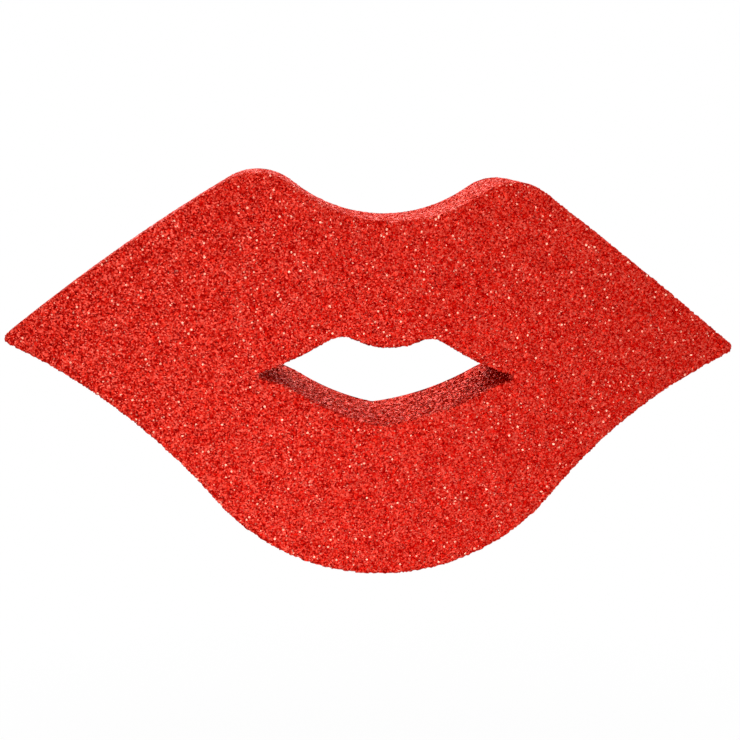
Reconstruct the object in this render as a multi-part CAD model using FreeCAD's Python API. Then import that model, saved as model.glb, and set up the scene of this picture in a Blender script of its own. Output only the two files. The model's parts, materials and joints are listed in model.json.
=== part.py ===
import FreeCAD, Part
import math
import os

# A lips-shaped novelty telephone, in millimetres, hung upright with its front face towards -Y.
# Pieces are drawn from the middle of the mouth, X to the right and Z up, with the back cover's
# outer face at Y 0. They are then lowered so that the origin lies midway between the keyholes.

# Lips outline on the front face
left_tip_reach = 120.8
left_tip_height = 13.0
right_tip_reach = 113.2
right_tip_height = 7.5
tip_radius = 2.0
left_peak_offset = 40.5
left_peak_height = 64.3
left_peak_radius = 18.5
right_peak_offset = 40.0
right_peak_height = 61.1
right_peak_radius = 16.5
bow_radius = 49.0
left_slope_radius = 620.0
right_slope_radius = 1500.0
belly_offset = -0.6
belly_depth = 65.4
belly_radius = 70.0
left_flank_radius = 195.0
right_flank_radius = 162.0

# Mouth opening
left_corner_reach = 40.6
left_corner_height = 0.6
right_corner_reach = 41.0
right_corner_height = -1.2
mouth_corner_radius = 0.8
left_mouth_peak_offset = 14.0
left_mouth_peak_height = 12.6
left_mouth_peak_radius = 9.4
right_mouth_peak_offset = 13.9
right_mouth_peak_height = 11.7
right_mouth_peak_radius = 8.1
left_brow_radius = 104.0
right_brow_radius = 88.0
tubercle_radius = 22.8
mouth_floor_offset = -2.0
mouth_floor_depth = 15.9
mouth_floor_radius = 2.0
left_limb_angle = 12.6
left_limb_radius = 77.0
right_limb_angle = 6.9
right_limb_radius = 94.0
left_cheek_radius = 44.0
right_cheek_radius = 17.0

# Casing
body_depth = 40.0
coat_thickness = 0.5
shell_wall = 2.5
mouth_wall = 2.2
rim_ledge = 1.0
cover_thickness = 2.5
cover_gap = 0.3
inner_tip_radius = 1.0
fixed_gap = 0.1
moving_gap = 0.3
collar_wall = 1.3

# Wall keyholes and pads
keyhole_below_boss = 19.0
keyhole_spacing = 80.0
keyhole_radius = 4.5
keyhole_slot_width = 4.6
keyhole_rise = 9.0
keyhole_pocket_depth = 7.0
keyhole_pocket_margin = 1.8
keyhole_pocket_wall = 1.2
pad_radius = 4.5
pad_height = 3.0
pad_recess = 0.5
pad_edge_radius = 0.6
upper_pad_outset = 16.0
upper_pad_rise = 3.0
lower_pad_angle = 44.0
lower_pad_inset = 8.5

# Screws
case_boss_radius = 3.5
case_screw_radius = 1.25
case_screw_length = 12.0
case_screw_head_radius = 2.8
case_screw_head_height = 1.5
small_post_radius = 2.2
small_screw_radius = 0.9
small_screw_bite = 5.0
small_screw_head_radius = 1.8
small_screw_head_height = 1.1
left_tip_boss_inset = 18.0
right_tip_boss_inset = 12.0
tip_boss_rise = 1.9
peak_boss_drop = 8.1
belly_boss_gap = 2.4
belly_boss_inset = 9.0

# A screw's cross recess, as shares of its head
cross_width_share = 0.24
cross_length_share = 1.3
cross_depth_share = 0.55

# Dialling keys
key_pitch_across = 14.0
key_row_gap = 3.5
key_width = 10.0
key_corner_radius = 1.6
key_top_radius = 0.6
key_proud = 1.8
key_travel = 1.4
key_flange = 0.9
key_flange_thickness = 1.0
key_stem_radius = 2.4
key_stem_length = 1.4
keypad_mouth_gap = 3.4
keypad_wall_gap = 2.3
keypad_tray_depth = 0.5
keypad_tray_margin = 2.0
keypad_tray_radius = 3.5

# Function keys
function_width = 8.0
function_row_gap = 3.0
function_mouth_gap = 3.4
function_pad_gap = 1.5
function_post_gap = 2.7

# Rubber membrane and main board
dome_base_radius = 3.4
dome_top_radius = 2.6
dome_height = 1.3
membrane_thickness = 1.0
membrane_margin = 2.0
board_thickness = 1.6
board_wall_gap = 1.0
board_top_drop = 7.4
board_side_margin = 7.0
post_key_gap = 1.1
upper_post_drop = 22.0
lower_post_inset = 10.6

# Parts under the main board
chip_length = 22.0
chip_width = 6.5
chip_height = 3.4
chip_offset = -13.0
chip_drop = 33.0
chip_standoff = 0.5
chip_legs = 9
chip_leg_width = 0.6
chip_leg_reach = 1.2
crystal_length = 11.0
crystal_width = 4.6
crystal_height = 3.6
crystal_offset = 13.0
crystal_drop = 30.0
crystal_edge_radius = 0.6
capacitor_radius = 4.0
capacitor_height = 11.0
capacitor_offset = 22.0
capacitor_drop = 41.0
capacitor_pitch = 10.0
capacitor_groove_depth = 0.3
capacitor_groove_near = 1.5
capacitor_groove_far = 2.2
diode_radius = 1.3
diode_length = 5.2
diode_offset = -37.0
diode_drop = 31.0
diode_pitch = 4.0
diode_count = 4

# Slide switches
switch_post_gap = 2.6
switch_first_drop = 12.0
switch_pitch = 12.0
switch_length = 12.0
switch_width = 6.0
switch_height = 5.0
switch_groove_depth = 2.5
switch_throw = 2.0
knob_length = 4.0
knob_width = 4.0
knob_proud = 1.2
knob_foot_length = 5.0
knob_foot_width = 2.8
knob_ridge_depth = 0.4
knob_ridge_width = 0.4
knob_ridge_pitch = 1.0

# Receiver in the left wing
receiver_radius = 17.5
receiver_thickness = 11.0
receiver_rim_radius = 16.0
receiver_step = 2.0
sound_hole_count = 8
sound_hole_reach = 8.8
sound_hole_radius = 1.1
sound_hole_depth = 1.0
gasket_thickness = 1.5
gasket_width = 3.5
ear_collar_depth = 7.0
ear_ring_radius = 19.5
ear_ring_width = 3.0
ear_ring_height = 1.0
ear_slot_width = 2.0
ear_slot_pitch = 4.4
ear_slot_field = 12.0
bar_post_gap = 2.4
bar_width = 8.0
bar_thickness = 1.4
round_end_margin = 0.05
ear_terminal_offset = 8.0

# Microphone and ringer in the right wing
wing_gap = 2.0
microphone_rise = 2.5
microphone_radius = 4.85
microphone_length = 6.5
boot_wall = 1.4
boot_face = 1.0
boot_hole_radius = 2.0
microphone_slot_width = 1.2
microphone_slot_length = 6.0
microphone_slot_pitch = 2.6
ringer_mouth_gap = 3.8
ringer_rise = 8.0
ringer_thickness = 7.0
ringer_step_width = 1.9
ringer_step_depth = 2.1
ringer_collar_depth = 4.5
ringer_slot_width = 1.8
ringer_slot_pitch = 4.2
ringer_slot_inset = 4.0

# Hook plunger in the upper lip
plunger_radius = 4.0
plunger_proud = 6.0
plunger_travel = 3.5
plunger_tip_radius = 2.0
plunger_collar_depth = 4.0
plunger_flange_radius = 5.6
plunger_flange_thickness = 1.8
spigot_radius = 2.2
spigot_length = 3.9
magnet_length = 2.0
magnet_gap = 0.9
spring_wire_radius = 0.3
spring_radius = 3.1
spring_turns = 6
hook_board_width = 28.0
hook_board_height = 20.0
hook_post_offset = 11.0
reed_radius = 1.2
reed_length = 14.0
reed_offset = 6.5

# Line jack in the bottom of the lower lip
jack_width = 13.0
jack_depth = 12.0
jack_length = 14.0
jack_centre_y = -24.0
socket_width = 9.8
socket_height = 6.8
socket_depth = 11.0
latch_width = 4.0
latch_height = 1.6
contact_size = 0.5
contact_length = 8.0
contact_pitch = 1.27
contact_count = 4
cradle_wall = 1.6
cradle_height = 4.5

# Ballast and leads
ballast_thickness = 3.0
ballast_wall_gap = 1.7
left_ballast_length = 40.0
left_ballast_width = 16.0
right_ballast_length = 34.0
right_ballast_width = 14.0
ballast_corner_radius = 2.0
lead_radius = 0.7
receiver_lead_depth = 26.0
microphone_lead_depth = 22.0
ringer_lead_depth = 19.5
hook_lead_depth = 31.0
lead_landing_inset = 2.0
receiver_landing_outset = 4.0
hook_landing_outset = 3.0
hook_lead_gap = 5.6
bend_share = 0.45

# Depths that follow from the sizes above
front = -body_depth
shell_front = front + coat_thickness
floor = shell_front + shell_wall
cover_back = -cover_thickness
key_seat = cover_back - moving_gap
key_flange_back = key_seat - key_flange_thickness
key_stem_back = key_flange_back - key_stem_length
dome_top = key_stem_back - key_travel - moving_gap
membrane_top = dome_top - dome_height
board_top = membrane_top - membrane_thickness
board_back = board_top - board_thickness
shell_inset = coat_thickness + shell_wall
rim_inset = shell_inset - rim_ledge
mouth_outset = coat_thickness + mouth_wall
mouth_rim_outset = mouth_outset - rim_ledge
far_past = 1.0
touch_tolerance = 1e-9
plane_tolerance = 1e-6


# Flat drawing in the XZ plane


def spot(x, z):
    return FreeCAD.Vector(x, 0, z)


def meet(centre_a, radius_a, centre_b, radius_b, towards):
    """The crossing of two circles that lies further along the direction towards."""
    span = centre_b - centre_a
    reach = (radius_a ** 2 - radius_b ** 2 + span.Length ** 2) / (2 * span.Length)
    rise = math.sqrt(radius_a ** 2 - reach ** 2)
    along = FreeCAD.Vector(span).normalize()
    across = spot(-along.z, along.x)
    middle = centre_a + along * reach
    one = middle + across * rise
    other = middle - across * rise
    return one if (one - other).dot(towards) > 0 else other


def tangent_ends(arc_a, arc_b):
    """Where the smooth line from one arc to the next leaves the first and joins the second."""
    centre_a, radius_a, turn_a = arc_a
    centre_b, radius_b, turn_b = arc_b
    signed_b = radius_b * turn_a * turn_b
    span = centre_b - centre_a
    along = FreeCAD.Vector(span).normalize()
    left = spot(-along.z, along.x)
    cosine = (radius_a - signed_b) / span.Length
    if abs(cosine) > 1 - touch_tolerance:
        touch = centre_a + along * math.copysign(radius_a, cosine)
        return touch, touch
    sine = math.sqrt(1 - cosine ** 2)
    normal = along * cosine - left * (sine * turn_a)
    return centre_a + normal * radius_a, centre_b + normal * signed_b


def arc_edge(arc, start, end):
    centre, radius, turn = arc
    first = math.atan2(start.z - centre.z, start.x - centre.x)
    last = math.atan2(end.z - centre.z, end.x - centre.x)
    sweep = ((last - first) * turn) % (2 * math.pi) * turn
    middle = first + sweep / 2
    bulge = centre + spot(radius * math.cos(middle), radius * math.sin(middle))
    return Part.Arc(start, bulge, end).toShape()


def chain(arcs):
    """A closed outline of arcs, each (centre, radius, turn), with straight runs where they don't touch."""
    joints = [tangent_ends(arc, arcs[(place + 1) % len(arcs)]) for place, arc in enumerate(arcs)]
    edges = []
    for place, arc in enumerate(arcs):
        leave, join = joints[place]
        edges.append(arc_edge(arc, joints[place - 1][1], leave))
        if leave is not join:
            edges.append(Part.LineSegment(leave, join).toShape())
    return Part.Wire(edges)


up = spot(0, 1)
down = spot(0, -1)
clockwise = -1
anticlockwise = 1

left_tip = spot(-left_tip_reach, left_tip_height)
right_tip = spot(right_tip_reach, right_tip_height)
left_peak = spot(-left_peak_offset, left_peak_height - left_peak_radius)
right_peak = spot(right_peak_offset, right_peak_height - right_peak_radius)
belly = spot(belly_offset, belly_radius - belly_depth)
left_slope = meet(left_tip, left_slope_radius, left_peak, left_slope_radius - left_peak_radius, down)
right_slope = meet(right_tip, right_slope_radius, right_peak, right_slope_radius - right_peak_radius, down)
bow = meet(left_peak, left_peak_radius + bow_radius, right_peak, right_peak_radius + bow_radius, up)
left_flank = meet(left_tip, left_flank_radius, belly, left_flank_radius + belly_radius, down)
right_flank = meet(right_tip, right_flank_radius, belly, right_flank_radius + belly_radius, down)
bow_bottom = bow.z - bow_radius


def lips(inset):
    """Outline of the lips, moved inwards by inset."""
    tip = max(tip_radius - inset, inner_tip_radius)
    deeper = inset + tip
    left_end = meet(left_slope, left_slope_radius - deeper, left_flank, left_flank_radius + deeper, up)
    right_end = meet(right_slope, right_slope_radius - deeper, right_flank, right_flank_radius + deeper, up)
    return chain([
        (left_end, tip, clockwise),
        (left_slope, left_slope_radius - inset, clockwise),
        (left_peak, left_peak_radius - inset, clockwise),
        (bow, bow_radius + inset, anticlockwise),
        (right_peak, right_peak_radius - inset, clockwise),
        (right_slope, right_slope_radius - inset, clockwise),
        (right_end, tip, clockwise),
        (right_flank, right_flank_radius + inset, anticlockwise),
        (belly, belly_radius - inset, clockwise),
        (left_flank, left_flank_radius + inset, anticlockwise),
    ])


def limb(side, angle, radius):
    """Centre of an arc that leaves the lowest point of the mouth at an angle, side -1 or +1."""
    turn = math.radians(angle)
    lowest = spot(mouth_floor_offset, -mouth_floor_depth)
    return lowest + spot(-side * radius * math.sin(turn), radius * math.cos(turn))


left_corner = spot(mouth_corner_radius - left_corner_reach, left_corner_height)
right_corner = spot(right_corner_reach - mouth_corner_radius, right_corner_height)
left_mouth_peak = spot(-left_mouth_peak_offset, left_mouth_peak_height - left_mouth_peak_radius)
right_mouth_peak = spot(right_mouth_peak_offset, right_mouth_peak_height - right_mouth_peak_radius)
tubercle = meet(left_mouth_peak, left_mouth_peak_radius + tubercle_radius,
                right_mouth_peak, right_mouth_peak_radius + tubercle_radius, up)
left_brow = meet(left_corner, mouth_corner_radius + left_brow_radius,
                 left_mouth_peak, left_mouth_peak_radius + left_brow_radius, up)
right_brow = meet(right_corner, mouth_corner_radius + right_brow_radius,
                  right_mouth_peak, right_mouth_peak_radius + right_brow_radius, up)
left_limb = limb(-1, left_limb_angle, left_limb_radius)
right_limb = limb(1, right_limb_angle, right_limb_radius)
mouth_floor = meet(left_limb, left_limb_radius - mouth_floor_radius,
                   right_limb, right_limb_radius - mouth_floor_radius, down)
left_cheek = meet(left_corner, mouth_corner_radius + left_cheek_radius,
                  left_limb, left_limb_radius + left_cheek_radius, down)
right_cheek = meet(right_corner, mouth_corner_radius + right_cheek_radius,
                   right_limb, right_limb_radius + right_cheek_radius, down)
tubercle_bottom = tubercle.z - tubercle_radius


def mouth(outset):
    """Outline of the mouth opening, moved into the lips by outset."""
    return chain([
        (left_corner, mouth_corner_radius + outset, clockwise),
        (left_brow, left_brow_radius - outset, anticlockwise),
        (left_mouth_peak, left_mouth_peak_radius + outset, clockwise),
        (tubercle, tubercle_radius - outset, anticlockwise),
        (right_mouth_peak, right_mouth_peak_radius + outset, clockwise),
        (right_brow, right_brow_radius - outset, anticlockwise),
        (right_corner, mouth_corner_radius + outset, clockwise),
        (right_cheek, right_cheek_radius - outset, anticlockwise),
        (right_limb, right_limb_radius + outset, clockwise),
        (mouth_floor, mouth_floor_radius + outset, clockwise),
        (left_limb, left_limb_radius + outset, clockwise),
        (left_cheek, left_cheek_radius - outset, anticlockwise),
    ])


# Solids drawn along Y, from the depth near to the depth far


def prism(outline, near, far):
    face = Part.Face(outline)
    face.translate(FreeCAD.Vector(0, near, 0))
    return face.extrude(FreeCAD.Vector(0, far - near, 0))


def disc(x, z, radius, near, far):
    return Part.makeCylinder(radius, far - near, FreeCAD.Vector(x, near, z), FreeCAD.Vector(0, 1, 0))


def ring(x, z, outer, inner, near, far):
    return disc(x, z, outer, near, far).cut(disc(x, z, inner, near - far_past, far + far_past))


def block(x, z, width, height, near, far):
    corner = FreeCAD.Vector(x - width / 2, near, z - height / 2)
    return Part.makeBox(width, far - near, height, corner)


def rounded(x, z, width, height, radius, near, far):
    """A block with rounded upright edges."""
    half_width = width / 2 - radius
    half_height = height / 2 - radius
    corners = [(-1, -1), (-1, 1), (1, 1), (1, -1)]
    return prism(chain([(spot(x + a * half_width, z + b * half_height), radius, clockwise)
                        for a, b in corners]), near, far)


def long_slot(x, z, length, width, near, far):
    """A slot along X with round ends."""
    half = (length - width) / 2
    ends = [(spot(x - half, z), width / 2, clockwise), (spot(x + half, z), width / 2, clockwise)]
    return prism(chain(ends), near, far)


def slot_field(x, z, radius, width, pitch, near, far):
    """Rows of slots that fill a round field."""
    rows = int(radius // pitch)
    slots = []
    for row in range(-rows, rows + 1):
        length = 2 * math.sqrt(radius ** 2 - (row * pitch) ** 2)
        slots.append(long_slot(x, z + row * pitch, max(length, width * 2), width, near, far))
    return slots


def fused(shapes):
    return shapes[0].multiFuse(shapes[1:]).removeSplitter()


def round_rim(shape, depth, radius):
    """Rounds the edges that lie in the plane at one depth."""
    rim = [edge for edge in shape.Edges if all(abs(v.Y - depth) < plane_tolerance for v in edge.Vertexes)
           and abs(edge.CenterOfMass.y - depth) < plane_tolerance]
    return shape.makeFillet(radius, rim)


def screw(x, z, seat, way, radius, length, head_radius, head_height):
    """A cross-head screw whose head sits at seat and whose shank runs along Y, way -1 or +1."""
    shank = disc(x, z, radius, *sorted((seat, seat + way * length)))
    outer = seat - way * head_height
    head = disc(x, z, head_radius, *sorted((seat, outer)))
    slit = head_radius * cross_width_share
    bar = head_radius * cross_length_share
    floor_of_slit = outer + way * head_height * cross_depth_share
    near, far = sorted((outer - way * far_past, floor_of_slit))
    cross = block(x, z, bar, slit, near, far).fuse(block(x, z, slit, bar, near, far))
    return fused([shank, head]).cut(cross)


# Places of the pieces

keyhole_height = min(left_peak_height, right_peak_height) - peak_boss_drop - keyhole_below_boss
hook_z = (bow_bottom + tubercle_bottom) / 2


def belly_drop(x, inset):
    """Height at x of the curve an inset inside the belly's arc, on the side where it is higher."""
    return belly.z - math.sqrt((belly_radius - inset) ** 2 - (abs(x) + abs(belly.x)) ** 2)


def belly_spot(side, angle, inset):
    """A point inside the lower lip, at an angle from straight down about the belly's centre."""
    reach = belly_radius - inset
    turn = math.radians(angle)
    return belly.x + side * reach * math.sin(turn), belly.z - reach * math.cos(turn)


# The keypad reads upright with the receiver end on top, so its rows run along X
key_rows = [("1", "2", "3"), ("4", "5", "6"), ("7", "8", "9"), ("star", "0", "hash")]
keypad_span_across = (len(key_rows) - 1) * key_pitch_across
keypad_half_width = (keypad_span_across + key_width) / 2 + key_flange
keypad_top = -(mouth_floor_depth + mouth_outset + keypad_mouth_gap)
keypad_bottom = belly_drop(keypad_half_width, shell_inset) + keypad_wall_gap + key_flange
keys_down = len(key_rows[0])
key_height = (keypad_top - keypad_bottom - (keys_down - 1) * key_row_gap) / keys_down
key_pitch_down = key_height + key_row_gap
first_key_z = keypad_top - key_height / 2
post_column_offset = keypad_half_width + post_key_gap + small_post_radius

# Function keys stand in a column between the corner of the mouth and the pad below it
function_names = ("redial", "flash", "mute")
function_x = post_column_offset + small_post_radius + function_post_gap + key_flange + function_width / 2
function_top = right_corner_height - mouth_corner_radius - mouth_outset - function_mouth_gap
lower_pad_z = belly_spot(1, lower_pad_angle, lower_pad_inset)[1]
function_bottom = lower_pad_z + pad_radius + fixed_gap + function_pad_gap
function_gaps = (len(function_names) - 1) * function_row_gap
function_height = (function_top - function_bottom - function_gaps) / len(function_names)
function_pitch = function_height + function_row_gap
switch_x = -(post_column_offset + small_post_radius + switch_post_gap + switch_length / 2)
board_left = switch_x - board_side_margin
board_right = function_x + function_width / 2 + key_flange + membrane_margin

# The receiver lies midway along the left wing, the ringer and microphone one after the other in the right
left_mouth_end = left_corner_reach + mouth_outset
right_mouth_end = right_corner_reach + mouth_outset
left_boss_reach = left_tip_reach - left_tip_boss_inset
right_boss_reach = right_tip_reach - right_tip_boss_inset
ear_x = -(left_mouth_end + left_boss_reach - case_boss_radius) / 2
ear_z = left_tip_height
bar_reach = receiver_radius + fixed_gap + collar_wall + bar_post_gap + small_post_radius
boot_radius = microphone_radius + fixed_gap + boot_wall
boot_collar_radius = boot_radius + fixed_gap + collar_wall
microphone_x = right_boss_reach - case_boss_radius - wing_gap - boot_collar_radius
microphone_z = right_tip_height + microphone_rise
ringer_left = right_mouth_end + ringer_mouth_gap
ringer_right = microphone_x - boot_collar_radius - wing_gap
ringer_x = (ringer_left + ringer_right) / 2
ringer_z = ringer_rise
ringer_radius = (ringer_right - ringer_left) / 2 - collar_wall - fixed_gap
ringer_slot_field = ringer_radius - ringer_slot_inset
left_ballast_x = -(left_mouth_end + ballast_wall_gap + left_ballast_length / 2)
right_ballast_x = right_mouth_end + ballast_wall_gap + right_ballast_length / 2

belly_boss_x = board_right + belly_boss_gap + case_boss_radius
belly_boss_z = belly_drop(belly_boss_x, belly_boss_inset)
case_screw_spots = [
    (-left_boss_reach, left_tip_height + tip_boss_rise),
    (right_boss_reach, right_tip_height + tip_boss_rise),
    (-left_peak_offset, left_peak_height - peak_boss_drop),
    (right_peak_offset, right_peak_height - peak_boss_drop),
    (-belly_boss_x, belly_boss_z),
    (belly_boss_x, belly_boss_z),
]
keyhole_spots = [(-keyhole_spacing / 2, keyhole_height), (keyhole_spacing / 2, keyhole_height)]
pad_spots = [
    (-keyhole_spacing / 2 - upper_pad_outset, keyhole_height + upper_pad_rise),
    (keyhole_spacing / 2 + upper_pad_outset, keyhole_height + upper_pad_rise),
    belly_spot(-1, lower_pad_angle, lower_pad_inset),
    belly_spot(1, lower_pad_angle, lower_pad_inset),
]
lower_post_z = belly_drop(post_column_offset, lower_post_inset)
board_post_spots = [(side * post_column_offset, z)
                    for side in (-1, 1) for z in (-upper_post_drop, lower_post_z)]
hook_post_spots = [(-hook_post_offset, hook_z), (hook_post_offset, hook_z)]
bar_post_spots = [(ear_x, ear_z - bar_reach), (ear_x, ear_z + bar_reach)]

key_spots = {}
for row, names in enumerate(key_rows):
    for column, name in enumerate(names):
        key_spots["key_" + name] = (row * key_pitch_across - keypad_span_across / 2,
                                    first_key_z - column * key_pitch_down)
function_spots = {}
for row, name in enumerate(function_names):
    function_spots["key_" + name] = (function_x, function_top - function_height / 2 - row * function_pitch)
switch_spots = {"ringer": (switch_x, -switch_first_drop),
                "dial_mode": (switch_x, -(switch_first_drop + switch_pitch))}

receiver_front = cover_back - gasket_thickness
receiver_back = receiver_front - receiver_thickness
bar_back = receiver_back - bar_thickness
plunger_collar_end = cover_back - plunger_collar_depth
flange_front = plunger_collar_end - moving_gap
flange_back = flange_front - plunger_flange_thickness
spigot_end = flange_back - spigot_length
magnet_end = spigot_end - magnet_length
hook_board_top = magnet_end - plunger_travel - magnet_gap
hook_board_back = hook_board_top - board_thickness


# Casing


def line_opening(inward):
    """The way in to the line jack, from below the lower lip to a height inward of its lowest point."""
    height = inward + far_past
    near = jack_centre_y - socket_height / 2 - latch_height
    far = jack_centre_y + socket_height / 2 + fixed_gap
    return block(0, -belly_depth + inward - height / 2, socket_width + 2 * fixed_gap, height, near, far)


def glitter_coat():
    """Glued flakes over the face, the outer wall and the wall of the mouth, open at the line jack."""
    outside = prism(lips(0), front, 0).cut(prism(mouth(0), front - far_past, far_past))
    inside = prism(lips(coat_thickness), shell_front, far_past)
    inside = inside.cut(prism(mouth(coat_thickness), front - far_past, far_past * 2))
    return outside.cut(inside).cut(line_opening(shell_wall))


# The jack's face stands clear of the curved wall at its two side edges
inner_belly_radius = belly_radius - shell_inset
jack_half_width = jack_width / 2 + abs(belly.x)
jack_sagitta = inner_belly_radius - math.sqrt(inner_belly_radius ** 2 - jack_half_width ** 2)
jack_face_z = -(belly_depth - shell_inset) + jack_sagitta + fixed_gap
jack_rear_z = jack_face_z + jack_length
jack_front_y = jack_centre_y - jack_depth / 2
jack_back_y = jack_centre_y + jack_depth / 2


def jack_cradle():
    """The pedestal, side ribs and stop that hold the line jack on the shell's floor."""
    middle_z = (jack_face_z + jack_rear_z) / 2
    outer_width = jack_width + 2 * (cradle_wall + fixed_gap)
    length = jack_length + cradle_wall
    base = block(0, middle_z + cradle_wall / 2 + fixed_gap, outer_width, length, floor - shell_wall / 2,
                 jack_front_y + cradle_height)
    bay_height = jack_length + fixed_gap + cradle_wall
    bay = block(0, jack_rear_z + fixed_gap - bay_height / 2, jack_width + 2 * fixed_gap, bay_height,
                jack_front_y, 0)
    return base.cut(bay)


def front_shell():
    """Lips-shaped tray with a wall round the mouth, bosses for the cover and a bay for the jack."""
    tray = prism(lips(coat_thickness), shell_front, 0)
    tray = tray.cut(prism(mouth(coat_thickness), front - far_past, far_past))
    hollow = prism(lips(shell_inset), floor, far_past).cut(prism(mouth(mouth_outset), front, far_past * 2))
    rebate = prism(lips(rim_inset), cover_back, far_past)
    rebate = rebate.cut(prism(mouth(mouth_rim_outset), front, far_past * 2))
    tray = tray.cut(hollow).cut(rebate)
    added = [disc(x, z, case_boss_radius, floor - shell_wall / 2, cover_back) for x, z in case_screw_spots]
    added.append(jack_cradle())
    tray = fused([tray] + added)
    cuts = [disc(x, z, case_screw_radius + fixed_gap, cover_back - case_screw_length - far_past, far_past)
            for x, z in case_screw_spots]
    cuts.append(line_opening(shell_inset + far_past))
    return tray.cut(cuts)


def keyhole(x, z):
    """A round entry with a narrower slot above it."""
    entry = disc(x, z, keyhole_radius, cover_back - far_past, far_past)
    neck = block(x, z + keyhole_rise / 2, keyhole_slot_width, keyhole_rise, cover_back - far_past, far_past)
    end = disc(x, z + keyhole_rise, keyhole_slot_width / 2, cover_back - far_past, far_past)
    return entry.fuse(neck).fuse(end)


def keyhole_pocket(x, z):
    """A closed box behind a keyhole that keeps the wall screw's head off the works."""
    width = 2 * (keyhole_radius + keyhole_pocket_margin)
    height = width + keyhole_rise
    middle = z + keyhole_rise / 2
    deep = cover_back - keyhole_pocket_depth
    outer = block(x, middle, width, height, deep - keyhole_pocket_wall, cover_back + cover_thickness / 2)
    inner = block(x, middle, width - 2 * keyhole_pocket_wall, height - 2 * keyhole_pocket_wall, deep,
                  cover_back)
    return outer.cut(inner)


def key_window(x, z, width, height):
    radius = key_corner_radius + moving_gap
    return rounded(x, z, width + 2 * moving_gap, height + 2 * moving_gap, radius,
                   cover_back - far_past, far_past)


def keypad_tray():
    """The shallow tray that the dialling keys stand in."""
    width = keypad_span_across + key_width + 2 * keypad_tray_margin
    height = keypad_top - keypad_bottom + 2 * keypad_tray_margin
    return rounded(0, (keypad_top + keypad_bottom) / 2, width, height, keypad_tray_radius,
                   -keypad_tray_depth, far_past)


def back_cover():
    """Moulded cover let into the rear rim, with posts, collars, windows, slots and keyholes."""
    plate = prism(lips(rim_inset + cover_gap), cover_back, 0)
    plate = plate.cut(prism(mouth(mouth_rim_outset + cover_gap), cover_back - far_past, far_past))
    inside = cover_back + cover_thickness / 2
    added = [
        ring(ear_x, ear_z, ear_ring_radius, ear_ring_radius - ear_ring_width, -far_past, ear_ring_height),
        ring(ear_x, ear_z, receiver_radius + fixed_gap + collar_wall, receiver_radius + fixed_gap,
             cover_back - ear_collar_depth, inside),
        ring(microphone_x, microphone_z, boot_collar_radius, boot_radius + fixed_gap,
             cover_back - microphone_length, inside),
        ring(ringer_x, ringer_z, ringer_radius + fixed_gap + collar_wall, ringer_radius + fixed_gap,
             cover_back - ringer_collar_depth, inside),
        disc(0, hook_z, plunger_radius + moving_gap + collar_wall, plunger_collar_end, inside),
    ]
    added += [disc(x, z, small_post_radius, board_top, inside) for x, z in board_post_spots]
    added += [disc(x, z, small_post_radius, hook_board_top, inside) for x, z in hook_post_spots]
    added += [disc(x, z, small_post_radius, receiver_back, inside) for x, z in bar_post_spots]
    added += [keyhole_pocket(x, z) for x, z in keyhole_spots]
    plate = fused([plate] + added)

    through = cover_back - far_past
    cuts = [keypad_tray()]
    cuts += [key_window(x, z, key_width, key_height) for x, z in key_spots.values()]
    cuts += [key_window(x, z, function_width, function_height) for x, z in function_spots.values()]
    cuts += [keyhole(x, z) for x, z in keyhole_spots]
    cuts += slot_field(ear_x, ear_z, ear_slot_field, ear_slot_width, ear_slot_pitch, through, far_past)
    cuts += slot_field(ringer_x, ringer_z, ringer_slot_field, ringer_slot_width, ringer_slot_pitch,
                       through, far_past)
    for step in (-1, 0, 1):
        cuts.append(long_slot(microphone_x, microphone_z + step * microphone_slot_pitch,
                              microphone_slot_length, microphone_slot_width, through, far_past))
    slot_length = knob_length + 2 * switch_throw + 2 * moving_gap
    cuts += [block(x, z, slot_length, knob_width + 2 * moving_gap, through, far_past)
             for x, z in switch_spots.values()]
    cuts.append(disc(0, hook_z, plunger_radius + moving_gap, plunger_collar_end - far_past, far_past))
    cuts += [disc(x, z, pad_radius + fixed_gap, -pad_recess, far_past) for x, z in pad_spots]
    for x, z in case_screw_spots:
        cuts.append(disc(x, z, case_screw_head_radius + fixed_gap, -case_screw_head_height, far_past))
        cuts.append(disc(x, z, case_screw_radius + fixed_gap, through, far_past))
    bore = small_screw_radius + fixed_gap
    for spots, end in ((board_post_spots, board_top), (hook_post_spots, hook_board_top),
                       (bar_post_spots, receiver_back)):
        cuts += [disc(x, z, bore, end - far_past, end + small_screw_bite + far_past) for x, z in spots]
    return plate.cut(cuts)


def wall_pads():
    """Rubber pads glued in shallow recesses of the cover."""
    return [round_rim(disc(x, z, pad_radius, -pad_recess, pad_height), pad_height, pad_edge_radius)
            for x, z in pad_spots]


def cover_screws():
    return [screw(x, z, -case_screw_head_height, -1, case_screw_radius, case_screw_length,
                  case_screw_head_radius, case_screw_head_height) for x, z in case_screw_spots]


# Keypad and main board


def key(x, z, width, height):
    """A key cap with a flange behind the cover and a stem over its rubber dome."""
    cap = rounded(x, z, width, height, key_corner_radius, key_flange_back, key_proud)
    cap = round_rim(cap, key_proud, key_top_radius)
    flange = rounded(x, z, width + 2 * key_flange, height + 2 * key_flange,
                     key_corner_radius + key_flange, key_flange_back, key_seat)
    stem = disc(x, z, key_stem_radius, key_stem_back, key_flange_back + key_flange_thickness / 2)
    return fused([cap, flange, stem])


def inside_of_case(gap, near, far):
    """The room inside the shell, with a gap to its walls."""
    room = prism(lips(shell_inset + gap), near, far)
    return room.cut(prism(mouth(mouth_outset + gap), near - far_past, far + far_past))


def board_field(left, right, top, near, far):
    """A rectangle of the lower lip down to its lowest point."""
    return block((left + right) / 2, (top - belly_depth) / 2, right - left, top + belly_depth, near, far)


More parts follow.
